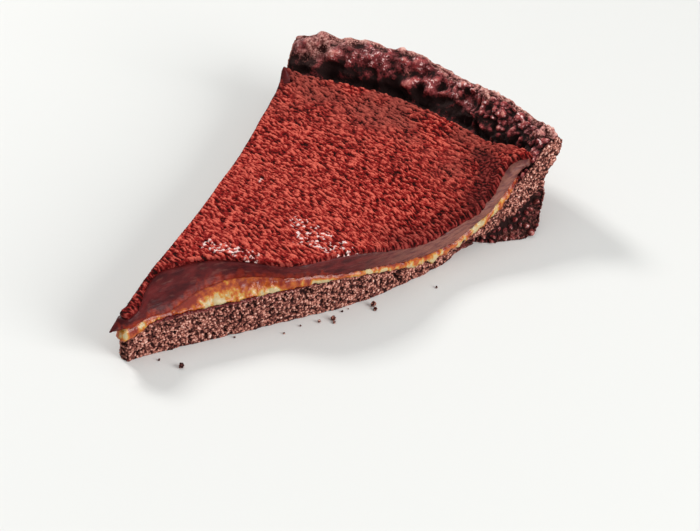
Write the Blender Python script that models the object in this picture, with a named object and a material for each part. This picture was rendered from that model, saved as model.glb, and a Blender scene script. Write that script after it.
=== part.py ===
"""A slice of cream cheese tart: a dark chocolate crust, a cream cheese layer, ganache and cocoa powder.

The slice lies on its flat base, +Z up, with +X from its tip to the middle of its rim. The tart's centre is
the slice's tip, so sizes below are given in millimetres from there: a radius, and a height above the base.
Every piece is a subdivided cube that a placing function bends into the slice's shape. The cube's own axes are
along (0 at the tip, 1 at the rim), across (0 at the front cut, 1 at the back cut) and up (0 below, 1 above).

Run it with: blender --background --python part.py
"""

import math

import bmesh
import bpy
from mathutils import Matrix, Vector, noise

MM = 0.001  # metres in a millimetre

# The whole tart, and where its centre lies in the slice's own frame
TART_RADIUS = 142.0
WALL_START = 100.0  # the base is flat up to this radius
WALL_RUN = 44.0  # from there along the crust's inner face to the top of the rim
RIM_BULGE = 2.6  # how much further out the rim is between the cuts
TIP_X = -70.85
TIP_Y = 1.5

# The two cuts in plan: each leaves the tip on one slope and bends to another
FRONT_TIP_SLOPE = 0.535
FRONT_RIM_SLOPE = 0.19
FRONT_BEND_X = 61.0
BACK_TIP_SLOPE = 0.275
BACK_RIM_SLOPE = 0.405
BACK_BEND_X = 54.0
BEND_LENGTH = 6.0
NOSE_RADIUS = 2.0  # the cut tip isn't sharp
NOSE_HALF_WIDTH = 1.6
SPREAD = 0.7  # the slice's angle, in radians

# The crust's sections from the flat base to the rim, as (distance in from the rim, height)
OUTER_WALL = ((42.0, 0.0), (33.0, 0.0), (24.0, 0.0), (16.5, 0.3), (12.0, 2.5), (8.0, 8.0), (4.4, 14.5), (0.0, 21.5))
INNER_WALL = ((42.0, 7.0), (35.0, 7.1), (28.0, 7.8), (21.5, 9.8), (16.5, 12.9), (13.0, 16.8), (10.5, 21.0), (7.0, 25.4))
FRONT_WALL = ((42.0, 3.6), (36.5, 4.9), (31.0, 7.7), (25.5, 10.9), (20.0, 14.4), (14.5, 18.2), (10.4, 21.6), (7.6, 24.8))
BASE_THICKNESS = 7.0  # inside the slice
EDGE_THICKNESS = 9.8  # at the front cut, near the tip
EDGE_REACH = 22.0  # how far from the front cut its uneven base reaches
TIP_CRUMBLE = 3.0  # how much lower the base is at the very tip
WALL_REACH = 20.0  # and how much further that is on the wall

# The filling
FILLING_HEIGHT = 14.6  # in the middle of the slice
DOME_HEIGHT = 2.4  # how much it rises near the tip
DROOP_HEIGHT = 4.5  # how much it sinks at the front cut, near the wall
FILLING_END = 130.0  # where it ends along the crust's inner face
CORNER_CLIMB = 6.5  # how much further it climbs at the front cut
CORNER_REACH = 18.0  # how far from that cut the climb starts
CREAM_THICKNESS = 2.2  # inside the slice
CREAM_STOP = 8.0  # it ends this far below the ganache on the wall
SMEAR_WIDTH = 11.2  # how far the ganache leans back from the front cut near the tip
COCOA_THICKNESS = 0.8
GAP = 0.3  # clearance between pieces that lie on each other

# Rows of faces along each piece
BASE_ROWS = 42
WALL_ROWS = 23
BASE_SHARE = BASE_ROWS / (BASE_ROWS + WALL_ROWS)


def smoothstep(low, high, value):
    """0 below low, 1 above high, and an even rise in between."""
    t = min(1.0, max(0.0, (value - low) / (high - low)))
    return t * t * (3.0 - 2.0 * t)


def bump(centre, width, value):
    """A bell, 1 at the centre and fading over the width."""
    return math.exp(-(((value - centre) / width) ** 2))


def blend(start, end, weight):
    """From start to end as the weight goes from 0 to 1."""
    return start + (end - start) * weight


def soft_min(value, limit):
    """The lower of the two, rounded where they cross."""
    return value - BEND_LENGTH * math.log(1.0 + math.exp((value - limit) / BEND_LENGTH))


def rough(x, y, z, size):
    """Even random relief from -1 to 1, with lumps of the given size."""
    return noise.noise(Vector((x, y, z)) / size)


def along_path(points, share):
    """The point at a share of the way, 0 to 1, along a smooth curve through evenly counted points."""
    last = len(points) - 1
    place = min(max(share, 0.0), 1.0) * last
    index = min(int(place), last - 1)
    t = place - index
    before, start, end, after = (Vector(points[min(max(index + k, 0), last)]) for k in (-1, 0, 1, 2))
    bend = (2 * before - 5 * start + 4 * end - after) * t * t
    twist = (3 * start - before - 3 * end + after) * t**3
    return start + 0.5 * ((end - before) * t + bend + twist)


# ---- The slice in plan ----


def front_y(x):
    """The front cut, on the -Y side."""
    bend = (FRONT_TIP_SLOPE - FRONT_RIM_SLOPE) * soft_min(x, FRONT_BEND_X)
    return -(FRONT_RIM_SLOPE * x + bend + NOSE_HALF_WIDTH * math.exp(-abs(x) / 6.0))


def back_y(x):
    """The back cut, on the +Y side."""
    bend = (BACK_RIM_SLOPE - BACK_TIP_SLOPE) * soft_min(x, BACK_BEND_X)
    return BACK_RIM_SLOPE * x - bend + NOSE_HALF_WIDTH * math.exp(-abs(x) / 6.0)


def cut_angle(cut, radius):
    """The angle from +X at which a cut crosses a circle round the tip."""
    x = radius
    for _ in range(12):
        angle = math.atan2(cut(x), x)
        x = radius * math.cos(angle)
    return angle


def in_slice(radius, height, across, front_inset=0.0, back_inset=0.0):
    """The point of the slice at a radius and height, between the front cut and the back cut."""
    reach = max(radius, NOSE_RADIUS)
    front = cut_angle(front_y, reach) + front_inset / max(reach, 8.0)
    back = cut_angle(back_y, reach) - back_inset / max(reach, 8.0)
    angle = blend(front, back, across)
    return Vector((radius * math.cos(angle), radius * math.sin(angle), height))


def near_front(radius, across, reach):
    """1 at the front cut, falling to 0 at a distance of reach from it."""
    return 1.0 - smoothstep(0.0, reach, SPREAD * radius * across)


def at_tip(radius):
    """1 at the very tip, falling to 0 a few millimetres from it."""
    return 1.0 - smoothstep(NOSE_RADIUS, 9.0, radius)


def tip_bulge(across):
    """How far the blunt tip stands out between the two cuts."""
    return 1.6 * (1.0 - (2.0 * across - 1.0) ** 2)


# ---- The crust ----


def edge_thickness(radius):
    """The base's thickness at the front cut: it thins towards the wall."""
    return blend(EDGE_THICKNESS, FRONT_WALL[0][1], smoothstep(55.0, 97.0, radius))


def wall_point(section, share, across):
    """(radius, height) at a share of the way up one of the wall's sections."""
    inset, height = along_path(section, share)
    bulge = RIM_BULGE * smoothstep(0.0, 0.12, across) * (1.0 - smoothstep(0.6, 0.9, across))
    return Vector((TART_RADIUS - inset + bulge * smoothstep(0.1, 0.6, share), height))


def inner_face(distance, across):
    """(radius, height) on the crust's inner face, at a distance along it from the tip."""
    if distance < WALL_START:
        weight = near_front(distance, across, EDGE_REACH)
        height = blend(BASE_THICKNESS, edge_thickness(distance), weight)
        return Vector((distance, height - TIP_CRUMBLE * at_tip(distance)))
    share = (distance - WALL_START) / WALL_RUN
    weight = near_front(WALL_START, across, EDGE_REACH + WALL_REACH * smoothstep(0.0, 0.4, share))
    return wall_point(INNER_WALL, share, across).lerp(wall_point(FRONT_WALL, share, across), weight)


def filling_end(across):
    """How far along the inner face the filling reaches."""
    return FILLING_END + CORNER_CLIMB * near_front(FILLING_END, across, CORNER_REACH)


def crust_section(along, across, up):
    """(radius, height) in the crust's section. The first part is the flat base, the rest the wall and rim."""
    if along < BASE_SHARE:
        radius = blend(NOSE_RADIUS, WALL_START, along / BASE_SHARE)
        return Vector((radius, inner_face(radius, across)[1] * up))
    share = (along - BASE_SHARE) / (1.0 - BASE_SHARE)
    outside = wall_point(OUTER_WALL, share, across)
    inside = inner_face(WALL_START + WALL_RUN * share, across)
    crown = math.sin(math.pi * up) * smoothstep(0.7, 1.0, share)
    return outside.lerp(inside, up) + Vector((1.0, 2.0)) * crown


def rim_weight(share, across, up):
    """How rough the crust is: the rim is, and the wall below the filling isn't."""
    outside = smoothstep(0.3, 0.7, share)
    clear = WALL_START + WALL_RUN * share - filling_end(across)
    return blend(outside, smoothstep(1.0, 7.0, clear), up)


def rim_lumps(point, up):
    """The hand-pressed rim's lumps and crags, as a shift of a point: in and out, and up and down."""
    x, y, z = point
    around = math.atan2(y, x) * TART_RADIUS
    folds = rough(around, 40.0, up * 6.0, 13.0)
    lumps = rough(x, y, z * 1.4, 6.0)
    crags = rough(x + 60.0, y, z, 2.8)
    outward = (1.0 - 2.0 * up) * (1.3 * folds + 1.6 * lumps + 0.9 * crags)
    upward = 1.3 * folds + 1.5 * lumps + 0.8 * crags
    return Vector((x, y, 0.0)).normalized() * outward + Vector((0.0, 0.0, upward))


def torn_corner(radius, height):
    """How far the front cut's face stands out: the crust's corner tore, and the base beside it broke back."""
    below_band = 1.4 + 0.47 * (radius - 106.0) - height
    lump = 6.5 * smoothstep(3.0, 12.0, below_band) * smoothstep(108.0, 118.0, radius)
    recess = 4.5 * bump(107.5, 5.0, radius) * (1.0 - smoothstep(1.6, 4.2, height))
    return lump - recess


def crumb_face(x, y, z):
    """The grain of a cut through crumbly pastry."""
    return 0.5 * rough(x, y, z, 2.1) + 0.45 * rough(x, y + 30.0, z, 4.3)


def place_crust(along, across, up):
    """A point of the crust, from its place in the cube."""
    radius, height = crust_section(along, across, up)
    point = in_slice(radius, height, across)
    share = (along - BASE_SHARE) / (1.0 - BASE_SHARE)
    if share > 0.0:
        point += rim_lumps(point, up) * rim_weight(share, across, up)
        point.z -= 3.0 * smoothstep(0.9, 1.0, across) * smoothstep(0.6, 1.0, share)
    outward = Vector((point.y, -point.x, 0.0)).normalized()
    if across == 0.0:
        point += outward * (torn_corner(radius, height) + crumb_face(*point))
    if across == 1.0:
        point -= outward * crumb_face(*point)
    if along == 0.0:
        point.x += crumb_face(point.x, point.y, point.z + 9.0) - tip_bulge(across)
    if up == 0.0 and share < 0.3:
        point.z = 0.0
    point.z = max(point.z, 0.0)
    return point


# ---- The filling ----


def crowded_ends(share):
    """Rows that are closer together near 0 and 1."""
    return share - 0.08 * math.sin(math.tau * share)


def crowded_front(across):
    """Columns that are closer together near the front cut."""
    return across**1.5


def filling_top(radius, across):
    """Height of the ganache's upper face."""
    dome = DOME_HEIGHT * smoothstep(0.0, 20.0, radius) * (1.0 - smoothstep(58.0, 84.0, radius))
    droop = DROOP_HEIGHT * bump(93.0, 16.0, radius) * near_front(radius, across, 30.0)
    tip_droop = 1.6 * bump(0.0, 6.0, radius)
    end_radius, end_height = inner_face(filling_end(across), across)
    start = end_radius - blend(8.0, 25.0, near_front(FILLING_END, across, CORNER_REACH))
    climb = smoothstep(start, end_radius - 2.0, radius)
    back_lip = 2.6 * smoothstep(0.94, 1.0, across) * smoothstep(116.0, 126.0, radius)
    level = FILLING_HEIGHT + dome - droop - tip_droop + back_lip
    return blend(level, end_height + back_lip, climb)


def front_lean(radius, lean):
    """How far the filling's front face stands back from the cut, for a lean of 0 at its foot to 1 at its top."""
    smear = SMEAR_WIDTH * smoothstep(0.0, 20.0, radius) * (1.0 - smoothstep(27.0, 50.0, radius))
    corner = 3.6 * bump(124.0, 7.0, radius)
    return 0.3 + (smear + corner) * lean**1.2


def cream_depth(radius, across):
    """Thickness of the cream cheese layer. At the front cut it's thick near the tip and thin further out."""
    edge = 1.9 + 1.9 * bump(40.0, 17.0, radius) - 0.9 * bump(62.0, 6.0, radius) - 1.5 * bump(13.0, 6.5, radius)
    return blend(CREAM_THICKNESS, edge, near_front(radius, across, EDGE_REACH)) + 1.6 * at_tip(radius)


def above_face(distance, across, lift):
    """(radius, height) at a distance along the crust's inner face, lifted square off it."""
    ahead = inner_face(distance + 1.0, across)
    behind = inner_face(distance - 1.0, across)
    slope = (ahead - behind).normalized()
    return inner_face(distance, across) + Vector((-slope[1], slope[0])) * lift


def cream_lift(distance, across):
    """How far above the crust the cream's upper face is. The layer tapers towards its end on the wall."""
    stop = filling_end(across) - CREAM_STOP
    taper = 1.0 - 0.6 * smoothstep(stop - 12.0, stop, distance)
    return GAP + cream_depth(distance, across) * taper


def leaning_point(section, across, back_inset):
    """The slice's point for a (radius, height) of the filling, with the lean of its front face."""
    radius, height = section
    floor = inner_face(radius, across)[1]
    top = max(filling_top(radius, across), floor + 1.0)
    lean = min(1.0, max(0.0, (height - floor) / (top - floor)))
    return in_slice(radius, height, across, front_lean(radius, lean), back_inset)


def place_cream(along, across, up):
    """A point of the cream cheese layer."""
    across = crowded_front(across)
    distance = blend(NOSE_RADIUS, filling_end(across) - CREAM_STOP, crowded_ends(along))
    low = above_face(distance, across, GAP)
    high = above_face(distance, across, cream_lift(distance, across))
    point = leaning_point(low.lerp(high, up), across, 0.4)
    if along == 0.0:
        point.x -= 1.2 * (1.0 - up) + tip_bulge(across)
    return point


def ganache_section(along, across, up):
    """(radius, height) in the ganache's section. Past the cream's end its underside falls to the crust."""
    share = crowded_ends(along)
    end = filling_end(across)
    distance = blend(NOSE_RADIUS, end - 2.5, share)
    past_cream = smoothstep(end - CREAM_STOP + 2.5, end - 2.5, distance)
    lift = blend(cream_lift(distance, across) + GAP, GAP, past_cream)
    low = above_face(distance, across, lift)
    rim = above_face(end, across, GAP)
    radius = blend(NOSE_RADIUS, rim[0], share)
    high = Vector((radius, max(filling_top(radius, across), low[1] + 0.8)))
    if along == 1.0:
        high = rim
    return low.lerp(high, up)


def place_ganache(along, across, up):
    """A point of the ganache, which hangs over the base at the tip in a small beak."""
    across = crowded_front(across)
    point = leaning_point(ganache_section(along, across, up), across, 0.2)
    if along == 0.0:
        point.x -= tip_bulge(across)
        point += Vector((-4.4, 0.0, -1.0)) * (1.0 - up) * smoothstep(0.2, 1.0, across)
    return point


def place_cocoa(along, across, up):
    """A point of the cocoa powder, a thin skin on the ganache with a grainy upper face."""
    across = crowded_front(across)
    point = leaning_point(ganache_section(along, across, 1.0), across, 0.2)
    if along == 0.0:
        point.x -= tip_bulge(across)
    grain = 0.3 * rough(point.x, point.y * 1.6, 0.0, 2.6)
    point.z += GAP + (COCOA_THICKNESS + grain) * up
    return point


# ---- Building ----


def material(name, colour, roughness):
    """A plain finish."""
    made = bpy.data.materials.new(name)
    made.use_nodes = True
    shader = made.node_tree.nodes["Principled BSDF"]
    shader.inputs["Base Color"].default_value = (*colour, 1.0)
    shader.inputs["Roughness"].default_value = roughness
    shader.inputs["Metallic"].default_value = 0.0
    return made


def lattice_cube(counts):
    """A unit cube cut into counts cells along each axis."""
    mesh = bmesh.new()
    bmesh.ops.create_cube(mesh, size=1.0, matrix=Matrix.Translation((0.5, 0.5, 0.5)))
    for axis, count in enumerate(counts):
        edges = [e for e in mesh.edges if abs((e.verts[0].co - e.verts[1].co)[axis]) > 0.5]
        bmesh.ops.subdivide_edges(mesh, edges=edges, cuts=count - 1, use_grid_fill=True)
    return mesh


def build_piece(name, counts, place, finish):
    """One named piece: a cube cut into counts cells, bent by place() and moved from the tip to the frame."""
    mesh = lattice_cube(counts)
    for vert in mesh.verts:
        along, across, up = (round(c, 6) for c in vert.co)
        vert.co = (place(along, across, up) + Vector((TIP_X, TIP_Y, 0.0))) * MM
    mesh.normal_update()
    bmesh.ops.dissolve_limit(mesh, angle_limit=0.0005, verts=mesh.verts, edges=mesh.edges)
    bmesh.ops.recalc_face_normals(mesh, faces=mesh.faces)
    data = bpy.data.meshes.new(name)
    mesh.to_mesh(data)
    mesh.free()
    data.materials.append(finish)
    data.shade_smooth()
    data.set_sharp_from_angle(angle=math.radians(35.0))
    piece = bpy.data.objects.new(name, data)
    bpy.context.scene.collection.objects.link(piece)
    return piece


def main():
    """Clears the scene and builds the slice."""
    for old in list(bpy.data.objects):
        bpy.data.objects.remove(old)
    pastry = material("chocolate_crust", (0.075, 0.028, 0.02), 0.75)
    cheese = material("cream_cheese", (0.75, 0.5, 0.18), 0.4)
    chocolate = material("chocolate_ganache", (0.075, 0.022, 0.018), 0.3)
    powder = material("cocoa_powder", (0.27, 0.045, 0.022), 0.95)
    build_piece("crust", (BASE_ROWS + WALL_ROWS, 40, 4), place_crust, pastry)
    build_piece("cream_cheese", (46, 12, 1), place_cream, cheese)
    build_piece("ganache", (46, 12, 2), place_ganache, chocolate)
    build_piece("cocoa_powder", (46, 12, 1), place_cocoa, powder)


main()
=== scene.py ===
"""The looks of a slice of chocolate tart: its crust, cream cheese layer, ganache and cocoa powder.

The slice lies on its base, +Z up, with +X from its tip to the middle of its rim. Each layer is copied from
its plain solid, remeshed finely, sculpted with its crumbs, crags, smears and ripples, and dressed in its
finish. Sculpting is done in millimetres from the slice's tip, and everything else in metres.
"""

import logging
import math
import random
from dataclasses import dataclass
from enum import Enum

import bpy
import numpy as np
from mathutils import Euler, Matrix, Vector, noise
from mathutils.bvhtree import BVHTree


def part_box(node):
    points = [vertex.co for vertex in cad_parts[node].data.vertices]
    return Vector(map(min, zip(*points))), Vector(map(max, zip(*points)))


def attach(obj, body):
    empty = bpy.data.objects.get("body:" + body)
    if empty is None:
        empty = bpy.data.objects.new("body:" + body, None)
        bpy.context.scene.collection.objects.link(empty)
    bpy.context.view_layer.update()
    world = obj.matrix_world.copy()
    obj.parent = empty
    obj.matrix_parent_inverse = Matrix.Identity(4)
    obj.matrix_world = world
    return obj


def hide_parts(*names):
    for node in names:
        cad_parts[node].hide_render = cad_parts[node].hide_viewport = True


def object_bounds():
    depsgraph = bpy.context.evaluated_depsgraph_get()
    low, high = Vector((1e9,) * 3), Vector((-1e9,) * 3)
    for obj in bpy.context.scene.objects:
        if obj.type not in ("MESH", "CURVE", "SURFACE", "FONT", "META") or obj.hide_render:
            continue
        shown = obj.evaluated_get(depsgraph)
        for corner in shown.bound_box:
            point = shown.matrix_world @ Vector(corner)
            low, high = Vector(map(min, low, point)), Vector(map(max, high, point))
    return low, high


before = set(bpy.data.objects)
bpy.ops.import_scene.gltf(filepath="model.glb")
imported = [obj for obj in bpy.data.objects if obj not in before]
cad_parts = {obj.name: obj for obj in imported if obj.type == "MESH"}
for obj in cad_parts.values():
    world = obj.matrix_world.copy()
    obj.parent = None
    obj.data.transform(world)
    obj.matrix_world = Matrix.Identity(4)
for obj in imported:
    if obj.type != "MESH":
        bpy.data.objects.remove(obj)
CAD_LOW, CAD_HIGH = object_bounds()
MM = 0.001
TIP_BEFORE_CRUST = 0.33  # how far the slice's tip lies outside the crust's box, in millimetres
TIP_FROM_SIDE = 49.94  # and how far it lies from the box's side with the front cut
NOSE = (8.0, 3.0)  # the radii between which the slice's blunt end becomes a cut
FRONT_CORNER = (106.0, 114.0)  # the radii between which the front cut's torn corner begins
JOINING_GAP = 0.001  # points closer than this many millimetres are one
HIDDEN_SHARE = 0.05  # the share of triangles that is kept where nothing shows
DRIP_STRETCH = (0.9, 0.9, 1.5)  # stains are drawn out down the cuts

logging.basicConfig(level=logging.INFO, format="%(message)s")
log = logging.getLogger("tart")

Triple = tuple[float, float, float]
Colour = Triple
Socket = bpy.types.NodeSocket


class Node(Enum):
    """The slice's solids, by the names they have in the frame."""

    CRUST = "crust"
    CREAM = "cream_cheese"
    GANACHE = "ganache"
    COCOA = "cocoa_powder"


# ---- Shaping values, in millimetres ----


def smoothstep(low: float, high: float, value: np.ndarray) -> np.ndarray:
    """An even rise from 0 at low to 1 at high. It falls instead where low is above high.

    Args:
        low: where the rise starts.
        high: where it ends.
        value: the values to read.

    Returns:
        One weight from 0 to 1 for each value.
    """
    share = np.clip((value - low) / (high - low), 0.0, 1.0)
    return share * share * (3.0 - 2.0 * share)


def soft_noise(points: np.ndarray, size: float, seed: float = 0.0) -> np.ndarray:
    """Smooth random lumps.

    Args:
        points: one place a row.
        size: how large a lump is.
        seed: a shift that gives other lumps.

    Returns:
        One value from about -1 to 1 for each point.
    """
    return np.array([noise.noise(place) for place in map(Vector, points / size + seed)])


def crumb_noise(points: np.ndarray, size: float, seed: float = 0.0) -> np.ndarray:
    """Round crumbs that are packed together, with cracks between them.

    Args:
        points: one place a row.
        size: how large a crumb is.
        seed: a shift that gives other crumbs.

    Returns:
        One value for each point, from -1 in a crack to 1 on top of a crumb.
    """
    cells = (noise.voronoi(place)[0] for place in map(Vector, points / size + seed))
    gaps = np.array([second - first for first, second, *_ in cells])
    return np.clip(gaps * 2.6 - 1.0, -1.0, 1.0)


def crag_noise(points: np.ndarray, size: float, seed: float = 0.0) -> np.ndarray:
    """Sharp creases between swollen lumps.

    Args:
        points: one place a row.
        size: how large a lump is.
        seed: a shift that gives other lumps.

    Returns:
        One value for each point, from -1 in a crease to 1 or more on top of a lump.
    """
    return np.abs(soft_noise(points, size, seed)) * 4.0 - 1.0


def drawn_out(points: np.ndarray, angle: float, stretch: float) -> np.ndarray:
    """Squeezes places along one direction in plan, so that noise read from them is drawn out along it.

    Args:
        points: one place a row.
        angle: the direction, in degrees from +X.
        stretch: how many times longer the lumps become.

    Returns:
        The squeezed places.
    """
    turn = math.radians(angle)
    along = np.array((math.cos(turn), math.sin(turn), 0.0))
    return points + np.outer(points @ along * (1.0 / stretch - 1.0), along)


def blend(first: np.ndarray, second: np.ndarray, share: np.ndarray) -> np.ndarray:
    """Goes from the first values to the second as the share goes from 0 to 1."""
    return first + (second - first) * share


@dataclass(frozen=True)
class Mark:
    """One lump or hollow that stands out on a layer, in millimetres from the slice's tip.

    Attributes:
        start: one end of its middle line.
        end: the other end, the same point for a round mark.
        width: how far it reaches from that line.
        height: how far it stands out, or how deep it is where this is negative.
    """

    start: Triple
    end: Triple
    width: float
    height: float

    def lift(self, points: np.ndarray) -> np.ndarray:
        """How far the mark lifts the surface.

        Args:
            points: one place a row.

        Returns:
            The lift of each point, in millimetres.
        """
        start = np.array(self.start)
        line = np.array(self.end) - start
        length = max(float(line @ line), 1e-9)
        share = np.clip((points - start) @ line / length, 0.0, 1.0)
        away = np.linalg.norm(points - start - share[:, None] * line, axis=1)
        return self.height * np.exp(-((away / self.width) ** 2))


def lift_all(marks: tuple[Mark, ...], points: np.ndarray) -> np.ndarray:
    """How far some marks together lift each point, in millimetres."""
    return sum(mark.lift(points) for mark in marks)


# ---- Working on meshes ----


def deselect_all() -> None:
    """Leaves nothing selected."""
    if bpy.context.mode != "OBJECT":
        bpy.ops.object.mode_set(mode="OBJECT")
    bpy.ops.object.select_all(action="DESELECT")


def pick(piece: bpy.types.Object) -> None:
    """Makes a piece the only one selected, and the active one."""
    deselect_all()
    piece.select_set(True)
    bpy.context.view_layer.objects.active = piece


def apply_modifier(piece: bpy.types.Object, kind: str, **settings: object) -> None:
    """Adds a modifier to a piece and applies it.

    Args:
        piece: the object to change.
        kind: the modifier's type, in Blender's words.
        settings: its values by name.
    """
    pick(piece)
    bpy.ops.object.modifier_add(type=kind)
    modifier = piece.modifiers[-1]
    for name, value in settings.items():
        setattr(modifier, name, value)
    bpy.ops.object.modifier_apply(modifier=modifier.name)


def merged_copy(node: Node, name: str) -> bpy.types.Object:
    """Copies a solid of the frame as a new piece whose triangles are joined up.

    Args:
        node: the solid.
        name: the new piece's name.

    Returns:
        The new piece, with a mesh of its own and no material.
    """
    piece = bpy.data.objects.new(name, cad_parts[node.value].data.copy())
    bpy.context.scene.collection.objects.link(piece)
    piece.data.materials.clear()
    pick(piece)
    bpy.ops.object.mode_set(mode="EDIT")
    bpy.ops.mesh.select_all(action="SELECT")
    bpy.ops.mesh.remove_doubles(threshold=JOINING_GAP * MM)
    bpy.ops.object.mode_set(mode="OBJECT")
    return piece


class Sculpt:
    """A layer's mesh while it is worked on.

    Attributes:
        piece: the object whose mesh is sculpted.
        tip: the slice's tip, in metres.
        points: the mesh's points, in millimetres from the tip.
        normals: the way each point faces.
        edges: the two points of each edge, by number.
    """

    def __init__(self, piece: bpy.types.Object, tip: np.ndarray) -> None:
        """Starts on a piece.

        Args:
            piece: the object whose mesh is sculpted.
            tip: the slice's tip, in metres.
        """
        self.piece = piece
        self.tip = tip
        self.read()

    def read(self) -> None:
        """Takes the points, normals and edges from the mesh."""
        mesh = self.piece.data
        flat = np.empty(len(mesh.vertices) * 3, dtype=np.float32)
        mesh.vertices.foreach_get("co", flat)
        self.points = (flat.reshape(-1, 3).astype(float) - self.tip) / MM
        mesh.vertex_normals.foreach_get("vector", flat)
        self.normals = flat.reshape(-1, 3).astype(float)
        ends = np.empty(len(mesh.edges) * 2, dtype=np.int32)
        mesh.edges.foreach_get("vertices", ends)
        self.edges = ends.reshape(-1, 2)

    def write(self) -> None:
        """Puts the points back into the mesh, inside the slice's box, and reads the mesh again."""
        places = np.clip(self.points * MM + self.tip, CAD_LOW, CAD_HIGH)
        self.piece.data.vertices.foreach_set("co", places.astype(np.float32).ravel())
        self.piece.data.update()
        self.read()

    def lift(self, heights: np.ndarray) -> None:
        """Moves each point along its normal.

        Args:
            heights: how far, in millimetres, for each point.
        """
        self.points += self.normals * heights[:, None]
        self.write()

    def radius(self) -> np.ndarray:
        """How far each point is from the tip in plan, in millimetres."""
        return np.hypot(*self.points[:, :2].T)

    def facings(self) -> tuple[np.ndarray, np.ndarray, np.ndarray]:
        """Which way the surface faces.

        Returns:
            For each point how much it faces out from the tip, round towards the back cut, and up.
        """
        flat = self.points[:, :2] / np.maximum(self.radius(), 1e-6)[:, None]
        outwards = (self.normals[:, :2] * flat).sum(axis=1)
        sideways = self.normals[:, 1] * flat[:, 0] - self.normals[:, 0] * flat[:, 1]
        return outwards, sideways, self.normals[:, 2]

    def cuts(self, low: float, high: float) -> np.ndarray:
        """Where the knife went through.

        Args:
            low: how far a point faces sideways where a cut begins.
            high: how far it does where all is cut.

        Returns:
            One weight from 0 to 1 for each point.
        """
        outwards, sideways, _ = self.facings()
        side = np.maximum(np.abs(sideways), smoothstep(*NOSE, self.radius()) * -outwards)
        return self.spread(smoothstep(low, high, side), 3)

    def front_corner(self) -> np.ndarray:
        """How near each point is to the front cut's torn corner, from 0 to 1."""
        return smoothstep(*FRONT_CORNER, self.radius()) * (self.points[:, 1] < 0.0)

    def spread(self, values: np.ndarray, times: int) -> np.ndarray:
        """Softens values over the surface.

        Args:
            values: one value for each point.
            times: how often each point takes on half of its neighbours' average.

        Returns:
            The softened values.
        """
        first, second = self.edges.T
        count = len(self.points)
        neighbours = np.bincount(first, minlength=count) + np.bincount(second, minlength=count)
        for _ in range(times):
            total = np.bincount(first, values[second], count) + np.bincount(second, values[first], count)
            values = (values + total / np.maximum(neighbours, 1)) / 2
        return values

    def keep(self, name: str, values: np.ndarray) -> None:
        """Stores values on the mesh's points, for the finish to read.

        Args:
            name: the attribute's name.
            values: one value for each point.
        """
        attribute = self.piece.data.attributes.new(name, "FLOAT", "POINT")
        attribute.data.foreach_set("value", values.astype(np.float32))

    def thin_out(self, hidden: np.ndarray) -> None:
        """Leaves fewer triangles where nothing shows.

        Args:
            hidden: True for each point that doesn't show.
        """
        mesh = self.piece.data
        pick(self.piece)
        bpy.ops.object.mode_set(mode="EDIT")
        bpy.ops.mesh.select_mode(type="VERT")
        bpy.ops.mesh.select_all(action="DESELECT")
        bpy.ops.object.mode_set(mode="OBJECT")
        mesh.vertices.foreach_set("select", hidden)
        bpy.ops.object.mode_set(mode="EDIT")
        bpy.ops.mesh.decimate(ratio=HIDDEN_SHARE)
        bpy.ops.object.mode_set(mode="OBJECT")
        self.read()


# ---- Finishes ----


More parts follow.
